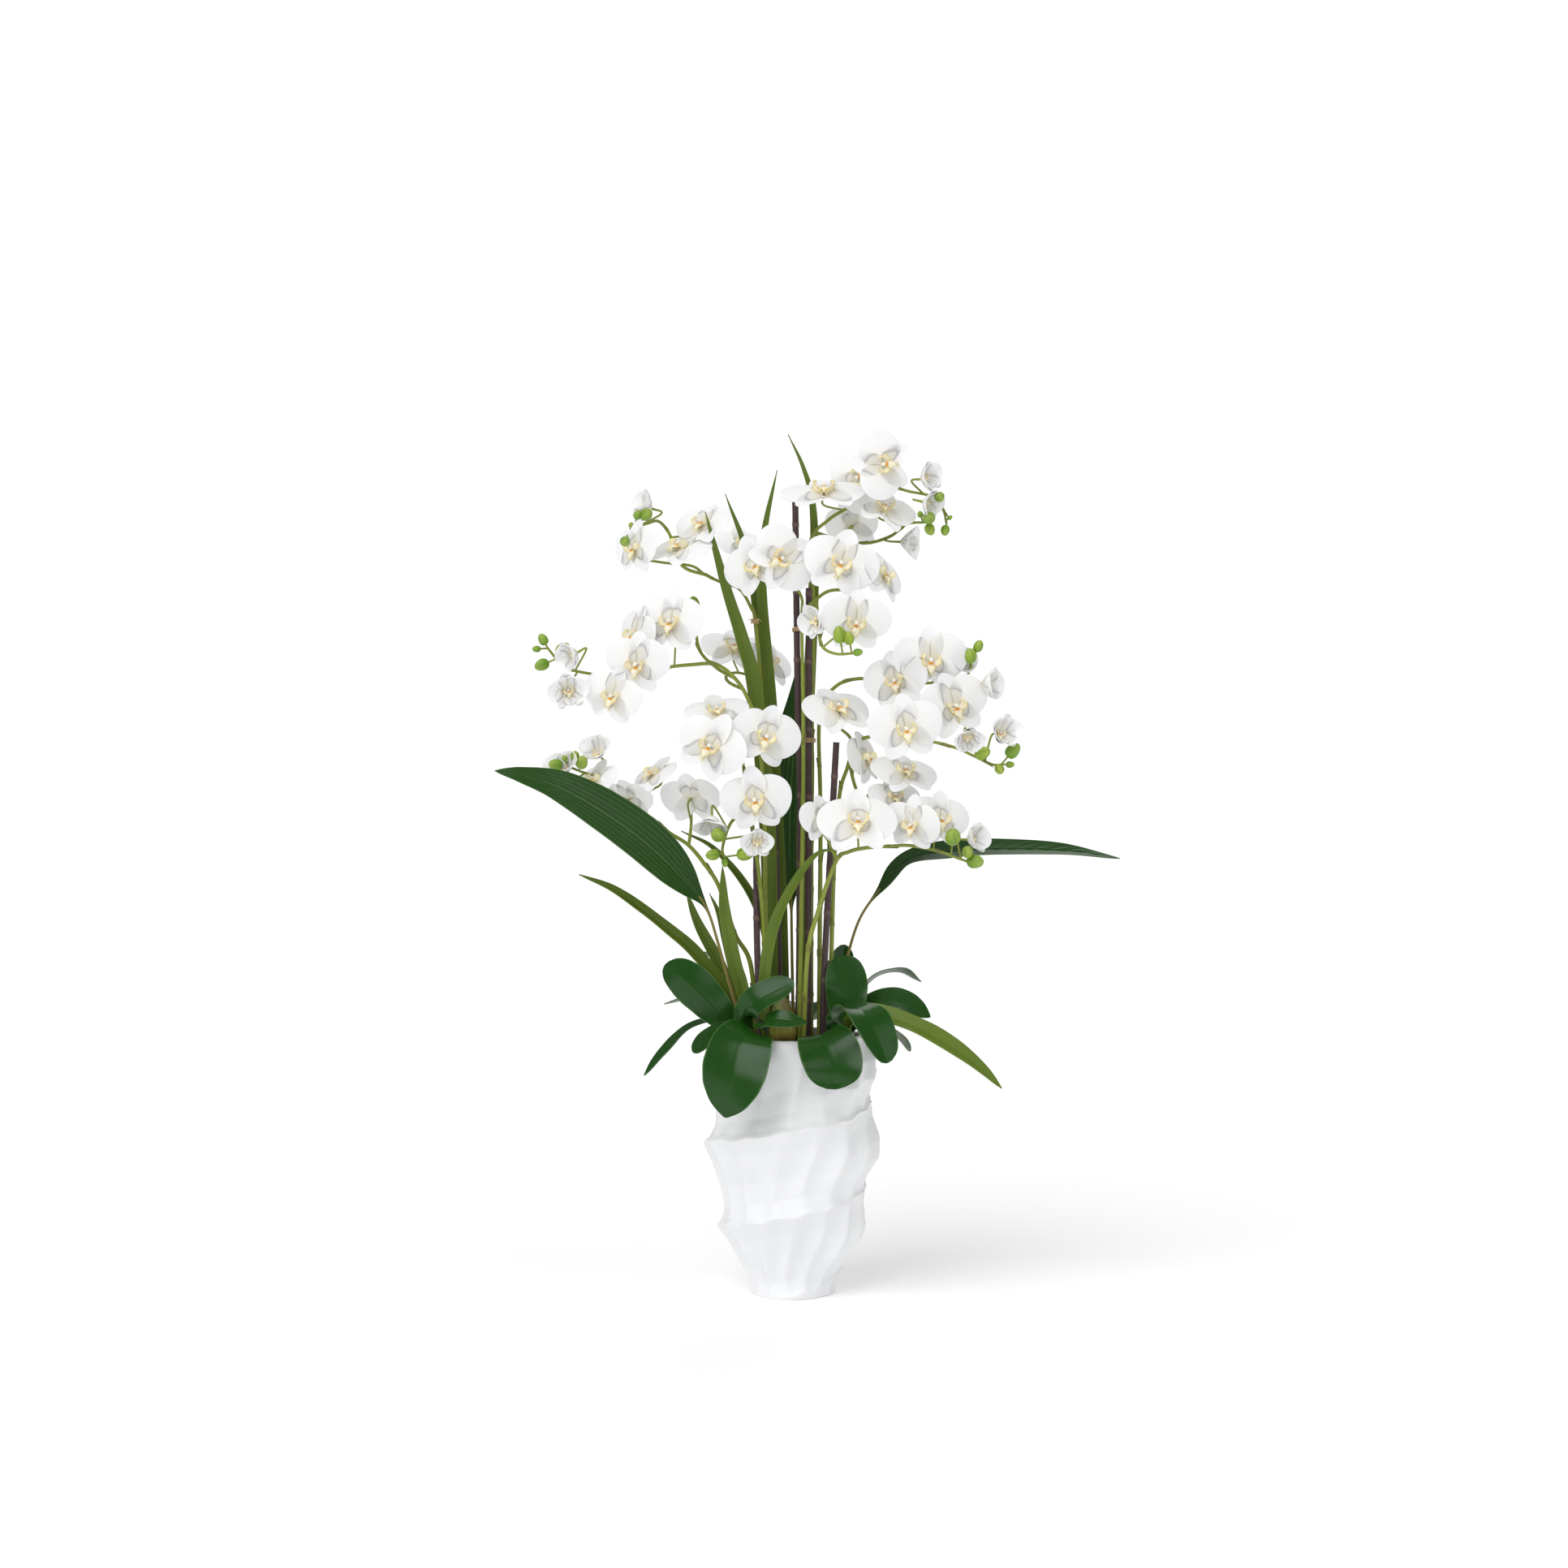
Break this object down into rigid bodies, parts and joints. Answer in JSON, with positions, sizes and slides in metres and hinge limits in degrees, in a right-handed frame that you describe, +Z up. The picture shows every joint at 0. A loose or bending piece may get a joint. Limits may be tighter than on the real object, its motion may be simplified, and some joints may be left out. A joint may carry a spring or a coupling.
{
  "type": "potted orchid arrangement",
  "caption": "Tall arrangement of white moth orchid sprays, canes, strap leaves and glossy base leaves in a sculpted white pot.",
  "frame": {"origin": "middle of the pot's underside", "axes": "+Z up the plant, -Y the front, the side with most flowers facing out"},
  "size_m": [0.7633, 0.2936, 1.0794],
  "materials": {
    "pot_ceramic": "matt white bisque",
    "potting_mix": "dark bark mix with loose chips on top",
    "bulb": "olive with brown scars",
    "petal": "thin white petals, yellow lips, green stems and buds",
    "cane": "dark brown cane with nodes",
    "raffia": "twisted raffia",
    "strap_leaf": "olive, fine lengthwise grooves",
    "broad_leaf": "dark green with paler side veins",
    "base_leaf": "very dark green, glossy, paler edge"
  },
  "bodies": {
    "root": {"broad_leaf_back": "broad_leaf", "broad_leaf_left": "broad_leaf", "broad_leaf_right": "broad_leaf", "cane_back": "cane", "cane_left": "cane", "cane_right": "cane", "cane_second": "cane", "cane_tall": "cane", "leaf_across_front": "base_leaf", "leaf_back": "base_leaf", "leaf_back_left": "base_leaf", "leaf_back_right": "base_leaf", "leaf_folded": "base_leaf", "leaf_front_left": "base_leaf", "leaf_left_behind": "base_leaf", "leaf_left_low": "base_leaf", "leaf_left_small": "base_leaf", "leaf_low_left": "base_leaf", "leaf_over_rim_left": "base_leaf", "leaf_over_rim_right": "base_leaf", "leaf_right": "base_leaf", "leaf_right_behind": "base_leaf", "leaf_right_front": "base_leaf", "leaf_right_thin": "base_leaf", "leaf_right_under": "base_leaf", "leaf_right_upright": "base_leaf", "pot": "pot_ceramic", "potting_mix": "potting_mix", "pseudobulb": "bulb", "spike_centre_left": "petal", "spike_crown_front": "petal", "spike_crown_left": "petal", "spike_crown_right": "petal", "spike_lower_left": "petal", "spike_lower_right": "petal", "spike_middle_left": "petal", "spike_middle_right": "petal", "spike_upper_right": "petal", "strap_back_arch": "strap_leaf", "strap_centre": "strap_leaf", "strap_centre_left": "strap_leaf", "strap_front_arch": "strap_leaf", "strap_left_arch": "strap_leaf", "strap_left_short": "strap_leaf", "strap_left_thin": "strap_leaf", "strap_left_upright": "strap_leaf", "strap_right_low": "strap_leaf", "strap_tall_back": "strap_leaf", "strap_tall_left": "strap_leaf", "tie_lower": "raffia", "tie_outer_left": "raffia", "tie_upper_left": "raffia", "tie_upper_right": "raffia"}
  },
  "joints": []
}
